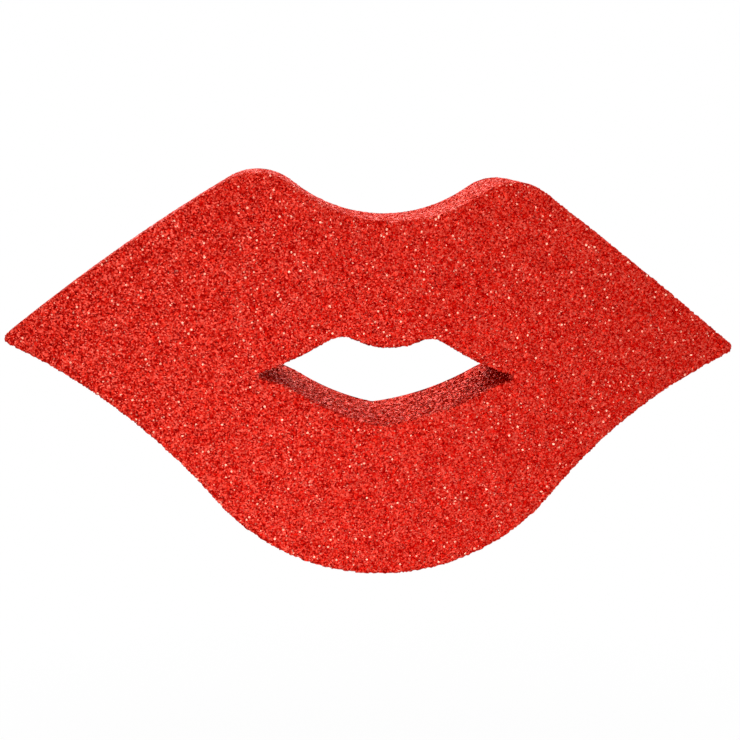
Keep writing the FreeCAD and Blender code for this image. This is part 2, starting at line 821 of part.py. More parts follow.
def keypad_membrane():
    """Rubber sheet with a dome under each key, drawn at the height to which a pressed key flattens it."""
    left = -(keypad_half_width + membrane_margin)
    sheet = inside_of_case(board_wall_gap, board_top, membrane_top)
    sheet = sheet.common(board_field(left, board_right, -board_top_drop, board_top, membrane_top))
    domes = [Part.makeCone(dome_base_radius, dome_top_radius, dome_height + membrane_thickness / 2,
                           FreeCAD.Vector(x, membrane_top - membrane_thickness / 2, z),
                           FreeCAD.Vector(0, 1, 0))
             for x, z in list(key_spots.values()) + list(function_spots.values())]
    holes = [disc(x, z, small_post_radius + moving_gap, board_back, dome_top) for x, z in board_post_spots]
    return fused([sheet] + domes).cut(holes)


def main_board():
    board = inside_of_case(board_wall_gap, board_back, board_top)
    board = board.common(board_field(board_left, board_right, -board_top_drop, board_back, board_top))
    bosses = [disc(x, z, case_boss_radius + board_wall_gap, board_back - far_past, board_top + far_past)
              for x, z in case_screw_spots]
    holes = [disc(x, z, small_screw_radius + fixed_gap, board_back - far_past, board_top + far_past)
             for x, z in board_post_spots]
    return board.cut(bosses + holes)


def dialler_chip():
    """Dual in-line chip with its row of legs along each long side."""
    z = -chip_drop
    body = block(chip_offset, z, chip_length, chip_width, board_back - chip_height,
                 board_back - chip_standoff)
    legs = []
    leg_pitch = chip_length / chip_legs
    for side in (-1, 1):
        for step in range(chip_legs):
            x = chip_offset + (step - (chip_legs - 1) / 2) * leg_pitch
            legs.append(block(x, z + side * chip_width / 2, chip_leg_width, chip_leg_reach,
                              board_back - chip_height / 2, board_back))
    return fused([body] + legs)


def tone_crystal():
    can = rounded(crystal_offset, -crystal_drop, crystal_length, crystal_width,
                  crystal_width / 2 - round_end_margin, board_back - crystal_height, board_back)
    return round_rim(can, board_back - crystal_height, crystal_edge_radius)


def capacitors():
    cans = []
    for step in (0, 1):
        x = capacitor_offset - step * capacitor_pitch
        can = disc(x, -capacitor_drop, capacitor_radius, board_back - capacitor_height, board_back)
        groove = ring(x, -capacitor_drop, capacitor_radius + far_past,
                      capacitor_radius - capacitor_groove_depth,
                      board_back - capacitor_groove_far, board_back - capacitor_groove_near)
        cans.append(can.cut(groove))
    return cans


def bridge_diodes():
    """Diode bodies that lie on the board along X, one above the other."""
    diodes = []
    for step in range(diode_count):
        z = -diode_drop + (step - (diode_count - 1) / 2) * diode_pitch
        depth = board_back - diode_radius
        body = Part.makeCylinder(diode_radius, diode_length,
                                 FreeCAD.Vector(diode_offset - diode_length / 2, depth, z),
                                 FreeCAD.Vector(1, 0, 0))
        diodes.append(body)
    return diodes


def board_screws():
    """Screws through the main board and the hook board into the cover's posts."""
    screws = []
    for spots, seat in ((board_post_spots, board_back), (hook_post_spots, hook_board_back)):
        screws += [screw(x, z, seat, 1, small_screw_radius, board_thickness + small_screw_bite,
                         small_screw_head_radius, small_screw_head_height) for x, z in spots]
    return screws


# Slide switches


def switch_body(x, z):
    """Switch body on the board, with a groove that its knob's foot slides in."""
    top = board_top + switch_height
    body = block(x, z, switch_length, switch_width, board_top, top)
    groove = block(x, z, knob_foot_length + 2 * switch_throw + 2 * moving_gap,
                   knob_foot_width + 2 * moving_gap, top - switch_groove_depth, top + far_past)
    return body.cut(groove)


def switch_knob(x, z):
    """Knob whose foot slides in the switch and whose ribbed end stands through the cover."""
    top = board_top + switch_height
    foot = block(x, z, knob_foot_length, knob_foot_width, top - switch_groove_depth + moving_gap, top)
    neck = block(x, z, knob_length, knob_foot_width, top - moving_gap, top + 2 * moving_gap)
    end = block(x, z, knob_length, knob_width, top + moving_gap, knob_proud)
    ridges = []
    for step in (-1, 0, 1):
        ridges.append(block(x + step * knob_ridge_pitch, z, knob_ridge_width, knob_width + far_past,
                            knob_proud - knob_ridge_depth, knob_proud + far_past))
    return fused([foot, neck, end]).cut(ridges)


# Receiver, microphone and ringer


def receiver_capsule():
    """Stepped round capsule with a ring of small blind sound holes."""
    body = disc(ear_x, ear_z, receiver_rim_radius, receiver_back, receiver_front)
    rim = disc(ear_x, ear_z, receiver_radius, receiver_back + receiver_step, receiver_front)
    holes = []
    for step in range(sound_hole_count):
        turn = 2 * math.pi * step / sound_hole_count
        x = ear_x + sound_hole_reach * math.cos(turn)
        z = ear_z + sound_hole_reach * math.sin(turn)
        holes.append(disc(x, z, sound_hole_radius, receiver_front - sound_hole_depth,
                          receiver_front + far_past))
    return fused([body, rim]).cut(holes)


def receiver_gasket():
    return ring(ear_x, ear_z, receiver_radius, receiver_radius - gasket_width, receiver_front, cover_back)


def receiver_bar():
    """Spring-steel bar screwed to two posts, which holds the capsule against its gasket."""
    length = 2 * (bar_reach + small_post_radius + far_past)
    bar = rounded(ear_x, ear_z, bar_width, length, bar_width / 2 - round_end_margin, bar_back, receiver_back)
    return bar.cut([disc(x, z, small_screw_radius + fixed_gap, bar_back - far_past, receiver_back + far_past)
                    for x, z in bar_post_spots])


def bar_screws():
    return [screw(x, z, bar_back, 1, small_screw_radius, bar_thickness + small_screw_bite,
                  small_screw_head_radius, small_screw_head_height) for x, z in bar_post_spots]


boot_back = cover_back - boot_face - microphone_length


def microphone_boot():
    """Rubber cup that seals the microphone to the cover."""
    cup = disc(microphone_x, microphone_z, boot_radius, boot_back, cover_back)
    bay = disc(microphone_x, microphone_z, microphone_radius + fixed_gap, boot_back - far_past,
               cover_back - boot_face)
    hole = disc(microphone_x, microphone_z, boot_hole_radius, boot_back, far_past)
    return cup.cut([bay, hole])


def microphone_capsule():
    can = disc(microphone_x, microphone_z, microphone_radius, boot_back, cover_back - boot_face)
    port = disc(microphone_x, microphone_z, boot_hole_radius / 2, cover_back - boot_face * 2, far_past)
    return can.cut(port)


def ringer_capsule():
    body = disc(ringer_x, ringer_z, ringer_radius, cover_back - ringer_thickness, cover_back)
    back = cover_back - ringer_thickness
    back_step = ring(ringer_x, ringer_z, ringer_radius + far_past, ringer_radius - ringer_step_width,
                     back - far_past, back + ringer_step_depth)
    return body.cut(back_step)


# Hook plunger


def hook_plunger():
    """Round plunger with a domed tip, a stop flange behind the cover and a spigot for the spring."""
    stem = round_rim(disc(0, hook_z, plunger_radius, flange_back, plunger_proud), plunger_proud,
                     plunger_tip_radius)
    flange = disc(0, hook_z, plunger_flange_radius, flange_back, flange_front)
    spigot = disc(0, hook_z, spigot_radius, spigot_end, flange_back + plunger_flange_thickness / 2)
    return fused([stem, flange, spigot])


def hook_magnet():
    return disc(0, hook_z, spigot_radius, magnet_end, spigot_end)


def hook_spring():
    """Compression spring from the hook board to the flange, wound round the spigot."""
    clear = spring_wire_radius + fixed_gap
    low = hook_board_top + clear
    high = flange_back - clear
    steps = spring_turns * 4
    rise = (high - low) / steps

    def wire_point(step):
        turn = step * math.pi / 2
        return FreeCAD.Vector(spring_radius * math.cos(turn), low + rise * step,
                              hook_z + spring_radius * math.sin(turn))

    path = Part.Wire([Part.Arc(wire_point(step), wire_point(step + 0.5), wire_point(step + 1)).toShape()
                      for step in range(steps)])
    start = FreeCAD.Vector(0, rise * 2 / math.pi, spring_radius)
    section = Part.Wire(Part.makeCircle(spring_wire_radius, wire_point(0), start))
    coil = path.makePipeShell([section], True, False)
    expected = math.pi * spring_wire_radius ** 2 * path.Length
    print("hook_spring volume", round(coil.Volume, 2), "section times length", round(expected, 2),
          "gap between turns", round(4 * rise - 2 * spring_wire_radius, 2))
    return coil


def hook_board():
    board = block(0, hook_z, hook_board_width, hook_board_height, hook_board_back, hook_board_top)
    return board.cut([disc(x, z, small_screw_radius + fixed_gap, hook_board_back - far_past,
                           hook_board_top + far_past) for x, z in hook_post_spots])


def reed_switch():
    """Glass reed switch that lies on the hook board beside the magnet."""
    start = FreeCAD.Vector(-reed_length / 2, hook_board_top + reed_radius, hook_z - reed_offset)
    return Part.makeCylinder(reed_radius, reed_length, start, FreeCAD.Vector(1, 0, 0))


# Line jack


def line_jack():
    """Modular jack whose socket opens downwards through the wall of the lower lip."""
    body = block(0, jack_face_z + jack_length / 2, jack_width, jack_length, jack_front_y, jack_back_y)
    socket_low = jack_centre_y - socket_height / 2
    socket = block(0, jack_face_z + socket_depth / 2 - far_past, socket_width, socket_depth + 2 * far_past,
                   socket_low, socket_low + socket_height)
    latch = block(0, jack_face_z + socket_depth / 2 - far_past, latch_width, socket_depth + 2 * far_past,
                  socket_low - latch_height, socket_low + far_past)
    return body.cut([socket, latch])


def jack_contacts():
    """Sprung wires that stand out from the socket's inner end."""
    top = jack_centre_y + socket_height / 2
    contacts = []
    for step in range(contact_count):
        x = (step - (contact_count - 1) / 2) * contact_pitch
        high_z = jack_face_z + socket_depth
        contacts.append(block(x, high_z - contact_length / 2, contact_size, contact_length,
                              top - 2 * contact_size, top - contact_size))
    return contacts


# Ballast and leads


def ballast(x, z, length, width):
    return rounded(x, z, length, width, ballast_corner_radius, floor, floor + ballast_thickness)


def lead(name, points):
    """A round lead of straight runs joined by tangent arcs as large as the runs allow."""
    radii = []
    edges = []
    last = points[0]
    for before, corner, after in zip(points, points[1:], points[2:]):
        back = (before - corner).normalize()
        ahead = (after - corner).normalize()
        half_turn = (math.pi - back.getAngle(ahead)) / 2
        cut_back = bend_share * min((before - corner).Length, (after - corner).Length)
        radius = cut_back / math.tan(half_turn)
        start = corner + back * cut_back
        end = corner + ahead * cut_back
        inward = (back + ahead).normalize()
        middle = corner + inward * (radius / math.cos(half_turn) - radius)
        edges.append(Part.LineSegment(last, start).toShape())
        edges.append(Part.Arc(start, middle, end).toShape())
        radii.append(round(radius, 1))
        last = end
    edges.append(Part.LineSegment(last, points[-1]).toShape())
    path = Part.Wire(edges)
    section = Part.Wire(Part.makeCircle(lead_radius, points[0], points[1] - points[0]))
    tube = path.makePipeShell([section], True, False)
    print(name, "bend radii", radii, "volume", round(tube.Volume, 2),
          "section times length", round(math.pi * lead_radius ** 2 * path.Length, 2))
    return tube


def board_lead(name, x, z, start, depth, landing):
    """A lead from a piece at x, z back to a depth, across, and forward to the main board."""
    land_x, land_z = landing
    return lead(name, [FreeCAD.Vector(x, start, z), FreeCAD.Vector(x, -depth, z),
                       FreeCAD.Vector(land_x, -depth, land_z), FreeCAD.Vector(land_x, board_back, land_z)])


def hook_lead():
    """The hook board's lead, which passes round the left corner of the mouth."""
    start_x = -hook_post_offset
    start_z = hook_z - hook_board_height / 2 + lead_landing_inset
    side_x = -(left_mouth_end + hook_lead_gap)
    land_x = switch_x - hook_landing_outset
    land_z = -(switch_first_drop + switch_pitch / 2)
    return lead("hook_lead", [
        FreeCAD.Vector(start_x, hook_board_back, start_z),
        FreeCAD.Vector(start_x, -hook_lead_depth, start_z),
        FreeCAD.Vector(side_x, -hook_lead_depth, left_mouth_peak_height),
        FreeCAD.Vector(side_x, -hook_lead_depth, -switch_first_drop),
        FreeCAD.Vector(land_x, -hook_lead_depth, land_z),
        FreeCAD.Vector(land_x, board_back, land_z),
    ])


def line_lead():
    z = jack_rear_z
    rise = socket_depth
    return lead("line_lead", [FreeCAD.Vector(0, jack_centre_y, z), FreeCAD.Vector(0, jack_centre_y, z + rise),
                              FreeCAD.Vector(0, board_back, z + rise)])


# Every piece by its name

pieces = {
    "glitter_coat": glitter_coat(),
    "front_shell": front_shell(),
    "back_cover": back_cover(),
    "wall_pads": wall_pads(),
    "cover_screws": cover_screws(),
    "keypad_membrane": keypad_membrane(),
    "main_board": main_board(),
    "dialler_chip": dialler_chip(),
    "tone_crystal": tone_crystal(),
    "capacitors": capacitors(),
    "bridge_diodes": bridge_diodes(),
    "board_screws": board_screws(),
    "receiver_capsule": receiver_capsule(),
    "receiver_gasket": receiver_gasket(),
    "receiver_bar": receiver_bar(),
    "bar_screws": bar_screws(),
    "microphone_boot": microphone_boot(),
    "microphone_capsule": microphone_capsule(),
    "ringer_capsule": ringer_capsule(),
    "hook_plunger": hook_plunger(),
    "hook_magnet": hook_magnet(),
    "hook_spring": hook_spring(),
    "hook_board": hook_board(),
    "reed_switch": reed_switch(),
    "line_jack": line_jack(),
    "jack_contacts": jack_contacts(),
    "ballast_left": ballast(left_ballast_x, ear_z, left_ballast_length, left_ballast_width),
    "ballast_right": ballast(right_ballast_x, ringer_z, right_ballast_length, right_ballast_width),
    "receiver_lead": board_lead("receiver_lead", ear_x + ear_terminal_offset, ear_z, receiver_back,
                                receiver_lead_depth,
                                (switch_x - receiver_landing_outset, -switch_first_drop)),
    "microphone_lead": board_lead("microphone_lead", microphone_x, microphone_z, boot_back,
                                  microphone_lead_depth,
                                  (function_x + function_width / 4, -board_top_drop - lead_landing_inset)),
    "ringer_lead": board_lead("ringer_lead", ringer_x, ringer_z, cover_back - ringer_thickness,
                              ringer_lead_depth,
                              (function_x + function_width / 2, function_top - function_height)),
    "line_lead": line_lead(),
    "hook_lead": hook_lead(),
}
for name, (x, z) in key_spots.items():
    pieces[name] = key(x, z, key_width, key_height)
for name, (x, z) in function_spots.items():
    pieces[name] = key(x, z, function_width, function_height)
for name, (x, z) in switch_spots.items():
    pieces[name + "_switch"] = switch_body(x, z)
    pieces[name + "_knob"] = switch_knob(x, z)

os.makedirs("parts", exist_ok=True)
for name, made in pieces.items():
    shape = Part.makeCompound(made) if isinstance(made, list) else made
    solids = shape.Solids
    shape = solids[0] if len(solids) == 1 else Part.makeCompound(solids)
    shape.translate(FreeCAD.Vector(0, 0, -keyhole_height))
    shape.exportStep("parts/" + name + ".step")
    state = "valid" if shape.isValid() else "INVALID"
    print(name, len(solids), "solids", round(shape.Volume, 1), "mm3", state)
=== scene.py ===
import json
import math

import bmesh
import bpy
from mathutils import Matrix, Vector, noise


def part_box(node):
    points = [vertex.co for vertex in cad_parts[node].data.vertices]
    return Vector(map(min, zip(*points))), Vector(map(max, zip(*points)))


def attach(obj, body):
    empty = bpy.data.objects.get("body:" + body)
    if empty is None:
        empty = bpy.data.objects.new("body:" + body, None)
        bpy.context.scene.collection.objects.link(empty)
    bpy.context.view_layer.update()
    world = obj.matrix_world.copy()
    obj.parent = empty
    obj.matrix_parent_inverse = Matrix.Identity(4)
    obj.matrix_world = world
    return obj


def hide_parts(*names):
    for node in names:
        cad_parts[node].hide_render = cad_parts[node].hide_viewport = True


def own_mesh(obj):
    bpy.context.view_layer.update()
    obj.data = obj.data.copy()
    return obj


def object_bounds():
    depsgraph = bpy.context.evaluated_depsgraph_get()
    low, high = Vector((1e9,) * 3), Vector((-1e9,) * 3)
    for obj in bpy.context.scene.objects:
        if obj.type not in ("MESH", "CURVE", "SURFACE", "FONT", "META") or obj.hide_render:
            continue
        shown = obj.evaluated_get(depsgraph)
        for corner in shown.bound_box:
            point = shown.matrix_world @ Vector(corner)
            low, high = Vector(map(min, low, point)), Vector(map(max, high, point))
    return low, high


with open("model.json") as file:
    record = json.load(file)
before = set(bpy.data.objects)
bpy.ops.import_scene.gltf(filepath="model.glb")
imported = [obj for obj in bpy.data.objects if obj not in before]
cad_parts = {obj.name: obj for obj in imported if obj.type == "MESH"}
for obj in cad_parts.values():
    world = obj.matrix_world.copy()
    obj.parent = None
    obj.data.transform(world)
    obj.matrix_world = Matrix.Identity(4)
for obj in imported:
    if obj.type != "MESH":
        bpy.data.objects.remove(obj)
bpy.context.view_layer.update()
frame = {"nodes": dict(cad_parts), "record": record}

# Front shell
# A lips-shaped tray of red ABS, injection moulded in one piece with the wall round the mouth,
# the screw bosses and the cradle of the line jack. The glitter covers its whole outside.


class Wire:
    """An output in a shader tree. Arithmetic and comparison of wires add Math nodes."""

    def __init__(self, tree, socket=None):
        self.tree = tree
        self.socket = socket

    def node(self, kind, settings, values):
        """Adds a node, sets its settings, then its sockets, and gives its first live output."""
        made = self.tree.nodes.new(kind)
        for name, setting in settings.items():
            setattr(made, name, setting)
        for name, value in values.items():
            if isinstance(name, int):
                entry = made.inputs[name]
            else:
                entry = next(socket for socket in made.inputs if socket.enabled and socket.name == name)
            if isinstance(value, Wire):
                self.tree.links.new(value.socket, entry)
            else:
                entry.default_value = value
        live = [socket for socket in made.outputs if socket.enabled]
        return Wire(self.tree, live[0] if live else None)

    def __getitem__(self, name):
        return Wire(self.tree, self.socket.node.outputs[name])

    def maths(self, operation, first, second):
        return self.node("ShaderNodeMath", {"operation": operation}, {0: first, 1: second})

    def __add__(self, other):
        return self.maths("ADD", self, other)

    def __radd__(self, other):
        return self.maths("ADD", other, self)

    def __sub__(self, other):
        return self.maths("SUBTRACT", self, other)

    def __rsub__(self, other):
        return self.maths("SUBTRACT", other, self)

    def __mul__(self, other):
        return self.maths("MULTIPLY", self, other)

    def __rmul__(self, other):
        return self.maths("MULTIPLY", other, self)

    def __pow__(self, other):
        return self.maths("POWER", self, other)

    def __gt__(self, other):
        return self.maths("GREATER_THAN", self, other)

    def __lt__(self, other):
        return self.maths("LESS_THAN", self, other)


def new_finish(name):
    """A new empty material and the wire that its nodes grow from."""
    made = bpy.data.materials.new(name)
    made.use_nodes = True
    made.node_tree.nodes.clear()
    return made, Wire(made.node_tree)


def surface(root, values):
    """Ends a material in a Principled shader with these sockets."""
    shader = root.node("ShaderNodeBsdfPrincipled", {}, values)
    root.node("ShaderNodeOutputMaterial", {}, {"Surface": shader})


def tint(colour, share=1.0):
    """A colour as a socket takes it, darker or lighter by share."""
    return (*(channel * share for channel in colour), 1.0)


def between(root, share, first, second):
    """A colour between two others."""
    return root.node("ShaderNodeMix", {"data_type": "RGBA", "clamp_factor": True},
                     {"Factor": share, "A": first, "B": second})


def speckle(root, size, detail, stretch=(1.0, 1.0, 1.0)):
    """Noise of a given grain size in metres, drawn out along an axis where stretch is under 1."""
    place = root.node("ShaderNodeTexCoord", {}, {})["Object"]
    drawn = root.node("ShaderNodeMapping", {}, {"Vector": place, "Scale": stretch})
    return root.node("ShaderNodeTexNoise", {}, {"Vector": drawn, "Scale": 1 / size, "Detail": detail})


def moulded(name, colour, roughness, grain=0.0004, depth=0.2, cloud_size=0.012):
    """Moulded plastic or rubber: faint clouding, a fine mould grain and a slightly uneven gloss."""
    dark_share = 0.86
    light_share = 1.12
    gloss_swing = 0.16
    grain_height = 0.0001
    made, root = new_finish(name)
    cloud = speckle(root, cloud_size, detail=3.0)
    shade = between(root, cloud, tint(colour, dark_share), tint(colour, light_share))
    bump = root.node("ShaderNodeBump", {}, {"Strength": depth, "Distance": grain_height,
                                            "Height": speckle(root, grain, detail=2.0)})
    surface(root, {"Base Color": shade, "Roughness": cloud * gloss_swing + (roughness - gloss_swing / 2),
                   "Normal": bump})
    return made


def metal(name, colour, roughness, stretch=(1.0, 1.0, 1.0)):
    """Metal with fine scratches, drawn out along one axis by stretch."""
    dark_share = 0.8
    light_share = 1.1
    gloss_swing = 0.2
    scratch_width = 0.0003
    scratch_depth = 0.00005
    scratch_strength = 0.15
    made, root = new_finish(name)
    scratch = speckle(root, scratch_width, detail=4.0, stretch=stretch)
    shade = between(root, scratch, tint(colour, dark_share), tint(colour, light_share))
    bump = root.node("ShaderNodeBump", {}, {"Strength": scratch_strength, "Distance": scratch_depth,
                                            "Height": scratch})
    surface(root, {"Base Color": shade, "Metallic": 1.0, "Normal": bump,
                   "Roughness": scratch * gloss_swing + (roughness - gloss_swing / 2)})
    return made


def dress(material, *nodes):
    """Gives CAD nodes a material."""
    for node in nodes:
        for held in frame["nodes"][node].material_slots:
            held.material = material


shell_red = (0.50, 0.018, 0.014)
dress(moulded("shell_plastic", shell_red, roughness=0.42), "front_shell")

# Ballast
# Two flat steel bars, sheared and tumbled, glued to the floor of the wings so that the light
# plastic case stays put when a key is pressed.

bar_grey = (0.52, 0.52, 0.53)
plain_steel = metal("plain_steel", bar_grey, roughness=0.42, stretch=(0.08, 1.0, 1.0))
dress(plain_steel, "ballast_left", "ballast_right")

# Line jack and leads
# A black moulded modular jack that drops into the shell's cradle, with four gold-plated contact
# wires in its socket and a short lead to the main board. All the leads have the same dark sleeve.

jack_black = (0.022, 0.022, 0.024)
contact_gold = (0.83, 0.60, 0.24)
sleeve_grey = (0.10, 0.10, 0.11)
black_plastic = moulded("black_plastic", jack_black, roughness=0.46)
gold_wire = metal("gold_wire", contact_gold, roughness=0.25)
lead_sleeve = moulded("lead_sleeve", sleeve_grey, roughness=0.5, grain=0.0008, depth=0.08)
dress(black_plastic, "line_jack")
dress(gold_wire, "jack_contacts")
dress(lead_sleeve, "line_lead", "receiver_lead", "microphone_lead", "ringer_lead", "hook_lead")

# Back cover
# One red ABS moulding with a spark-eroded grain, let into the rear rim of the shell. It carries
# the works on its posts and collars, and has the windows, slots and wall keyholes.

cover_red = (0.40, 0.014, 0.012)
dress(moulded("cover_plastic", cover_red, roughness=0.5, grain=0.00045, depth=0.45), "back_cover")

# Receiver
# A black capsule held against a ring of foam by a spring-steel bar, which two small screws fix to
# the cover's posts. All the screws are zinc plated.

foam_black = (0.035, 0.035, 0.038)
spring_grey = (0.46, 0.47, 0.50)
zinc_grey = (0.70, 0.69, 0.66)
foam = moulded("closed_foam", foam_black, roughness=0.9, grain=0.0006, depth=0.8, cloud_size=0.003)
spring_steel = metal("spring_steel", spring_grey, roughness=0.3, stretch=(1.0, 1.0, 0.08))
zinc = metal("zinc_plate", zinc_grey, roughness=0.3)
dress(black_plastic, "receiver_capsule")
dress(foam, "receiver_gasket")
dress(spring_steel, "receiver_bar")
dress(zinc, "bar_screws", "board_screws", "cover_screws")

# Microphone and ringer
# The electret capsule is a small drawn can in a rubber boot. The ringer is a black piezo sounder
# that sits in a collar of the cover.

rubber_black = (0.024, 0.024, 0.024)
can_grey = (0.74, 0.74, 0.73)
soft_rubber = moulded("soft_rubber", rubber_black, roughness=0.75, grain=0.0007, depth=0.4)
drawn_can = metal("drawn_can", can_grey, roughness=0.28, stretch=(1.0, 0.15, 1.0))
dress(soft_rubber, "microphone_boot")
dress(drawn_can, "microphone_capsule")
dress(black_plastic, "ringer_capsule")

# Hook plunger
# A black acetal plunger that the wall or table holds down, with a magnet in its spigot that works
# a glass reed switch. Its steel spring stands on a little circuit board; here the coil is a fixed copy
# that does not shorten.

acetal_black = (0.03, 0.03, 0.032)
resist_green = (0.03, 0.16, 0.055)
glass_green = (0.72, 0.86, 0.80)
streak_size = 0.002
streak_roughness = 0.1
clear_roughness = 0.02
acetal = moulded("acetal", acetal_black, roughness=0.32, grain=0.0009, depth=0.06)
board_green = moulded("solder_resist", resist_green, roughness=0.34, grain=0.0012, depth=0.12,
                      cloud_size=0.004)
reed_glass, root = new_finish("reed_glass")
streak = speckle(root, streak_size, detail=2.0)
surface(root, {"Base Color": tint(glass_green), "Roughness": streak * streak_roughness + clear_roughness,
               "Transmission Weight": 0.85, "IOR": 1.5})
dress(acetal, "hook_plunger")
dress(drawn_can, "hook_magnet")
dress(board_green, "hook_board")
dress(reed_glass, "reed_switch")


def mesh_of(name, shape):
    """The mesh of a bmesh, which is freed."""
    mesh = bpy.data.meshes.new(name)
    shape.to_mesh(mesh)
    shape.free()
    return mesh


def stand(name, data):
    """A new object in the scene that holds a mesh, lettering, a lamp or a camera."""
    made = bpy.data.objects.new(name, data)
    bpy.context.scene.collection.objects.link(made)
    return made


same_point = 1e-7
joints = {joint["name"]: joint for joint in frame["record"]["behaviour"]["joints"]}
hook_travel = joints["hook_press"]["range_m"][1]
spring_low, spring_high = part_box("hook_spring")
pressed_share = 1 - hook_travel / (spring_high[1] - spring_low[1])
winding = bmesh.new()
winding.from_mesh(frame["nodes"]["hook_spring"].data)
bmesh.ops.remove_doubles(winding, verts=winding.verts, dist=same_point)
coil = stand("hook_coil", mesh_of("hook_coil", winding))
coil.data.materials.append(spring_steel)
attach(coil, "case")
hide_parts("hook_spring")
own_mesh(coil)

# Main board
# A single-sided board screwed to the cover's posts, with the dialling chip, its crystal, two
# sleeved capacitors, four bridge diodes and the two slide switches soldered to it. A silicone
# membrane lies between it and the keys.

epoxy_black = (0.02, 0.02, 0.021)
sleeve_blue = (0.02, 0.035, 0.16)
silicone_grey = (0.42, 0.42, 0.40)
epoxy = moulded("epoxy", epoxy_black, roughness=0.6, grain=0.0003, depth=0.35)
capacitor_sleeve = moulded("capacitor_sleeve", sleeve_blue, roughness=0.36, grain=0.002, depth=0.05)
silicone = moulded("silicone", silicone_grey, roughness=0.62, grain=0.0009, depth=0.2)
dress(board_green, "main_board")
dress(epoxy, "dialler_chip", "bridge_diodes")
dress(capacitor_sleeve, "capacitors")
dress(drawn_can, "tone_crystal", "ringer_switch", "dial_mode_switch")
dress(silicone, "keypad_membrane")

# Dialling keys
# Twelve ivory ABS caps with satin tops, each pressed up by its rubber dome. Figures and letters
# are pad printed in black ink and read upright with the receiver end on top.

cap_ivory = (0.80, 0.75, 0.63)
print_black = (0.02, 0.019, 0.018)
ink_thickness = 0.00006
curve_segments = 4
figure_height = 0.0046
letter_height = 0.0019
figure_drop = Vector((0.0013, 0, 0))
letter_rise = Vector((-0.0027, 0, 0))
ivory = moulded("ivory_plastic", cap_ivory, roughness=0.4, grain=0.0007, depth=0.12)
black_ink = moulded("black_ink", print_black, roughness=0.55, grain=0.0002, depth=0.1)
# Words run along -Z with their tops towards -X, and face +Y
reading_way = Matrix(((0, -1, 0), (0, 0, 1), (-1, 0, 0))).to_4x4()


def worked_out(made):
    """The mesh of an object after its lettering or modifiers. The object is removed."""
    mesh = bpy.data.meshes.new_from_object(made.evaluated_get(bpy.context.evaluated_depsgraph_get()))
    bpy.data.objects.remove(made)
    return mesh


def printed(name, words, height, place, body, ink):
    """Words printed on a face of the back, as a thin mesh centred on place."""
    drawn = bpy.data.curves.new(name, "FONT")
    drawn.body = words
    drawn.size = height
    drawn.align_x = "CENTER"
    drawn.align_y = "CENTER"
    drawn.extrude = ink_thickness
    drawn.resolution_u = curve_segments
    mesh = worked_out(stand(name, drawn))
    bpy.data.curves.remove(drawn)
    mesh.transform(Matrix.Translation(place) @ reading_way)
    letters = bmesh.new()
    letters.from_mesh(mesh)
    bmesh.ops.remove_doubles(letters, verts=letters.verts, dist=same_point)
    letters.to_mesh(mesh)
    letters.free()
    mesh.name = name
    mesh.materials.clear()
    mesh.materials.append(ink)
    made = stand(name, mesh)
    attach(made, body)


def top_middle(node):
    """The middle of a key's or knob's outer face."""
    low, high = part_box(node)
    return Vector(((low[0] + high[0]) / 2, high[1], (low[2] + high[2]) / 2))


key_legends = {
    "key_1": ("1", ""), "key_2": ("2", "ABC"), "key_3": ("3", "DEF"),
    "key_4": ("4", "GHI"), "key_5": ("5", "JKL"), "key_6": ("6", "MNO"),
    "key_7": ("7", "PRS"), "key_8": ("8", "TUV"), "key_9": ("9", "WXY"),
    "key_star": ("*", ""), "key_0": ("0", "OPER"), "key_hash": ("#", ""),
}
for node, (figure, letters) in key_legends.items():
    dress(ivory, node)
    figure_place = top_middle(node) + figure_drop
    printed(node + "_figure", figure, figure_height, figure_place, node, black_ink)
    if letters:
        letter_place = top_middle(node) + letter_rise
        printed(node + "_letters", letters, letter_height, letter_place, node, black_ink)

# Function keys
# Three smaller caps in dark grey ABS beside the corner of the mouth, with their words printed
# in ivory ink.

cap_grey = (0.075, 0.070, 0.068)
print_ivory = (0.78, 0.74, 0.64)
word_height = 0.0016
dark_grey = moulded("grey_plastic", cap_grey, roughness=0.42, grain=0.0007, depth=0.12)
ivory_ink = moulded("ivory_ink", print_ivory, roughness=0.55, grain=0.0002, depth=0.1)
for node in ("key_redial", "key_flash", "key_mute"):
    dress(dark_grey, node)
    word = node.removeprefix("key_").upper()
    printed(node + "_word", word, word_height, top_middle(node), node, ivory_ink)

# Slide switches
# Two black ribbed knobs in slots of the cover set the ringer's loudness and tone or pulse
# dialling. Their marks are printed on the cover in ivory ink.

cover_face = 0.0
mark_height = 0.0021
mark_reach = Vector((0.0062, 0, 0))
dress(black_plastic, "ringer_knob", "dial_mode_knob")
for node, high_mark, low_mark in (("ringer_knob", "HI", "LO"), ("dial_mode_knob", "T", "P")):
    middle = top_middle(node)
    middle.y = cover_face
    printed(node + "_high_mark", high_mark, mark_height, middle - mark_reach, "case", ivory_ink)
    printed(node + "_low_mark", low_mark, mark_height, middle + mark_reach, "case", ivory_ink)

# Wall pads
# Four round rubber pads with a rounded edge, glued into shallow recesses of the cover. The case
# hangs against a wall or lies on a table on them.

dress(soft_rubber, "wall_pads")

# Glitter coat
# Coarse red craft glitter, metallised film cut into flakes about half a millimetre across, strewn
# on wet glue over the face, the outer wall and the wall of the mouth. It is one rough skin here.

flake_pitch = 0.00076
flake_lift = 0.00022
wall_flake_lift = 0.0003
flake_shift = 0.0005
shift_grain = flake_pitch * 0.37
lift_grain = flake_pitch * 0.29
lift_face_limit = -0.5
upright_limit = 0.5
spare_depth = 0.003
rim_reach = 1e-5
coat_same_point = 1e-6


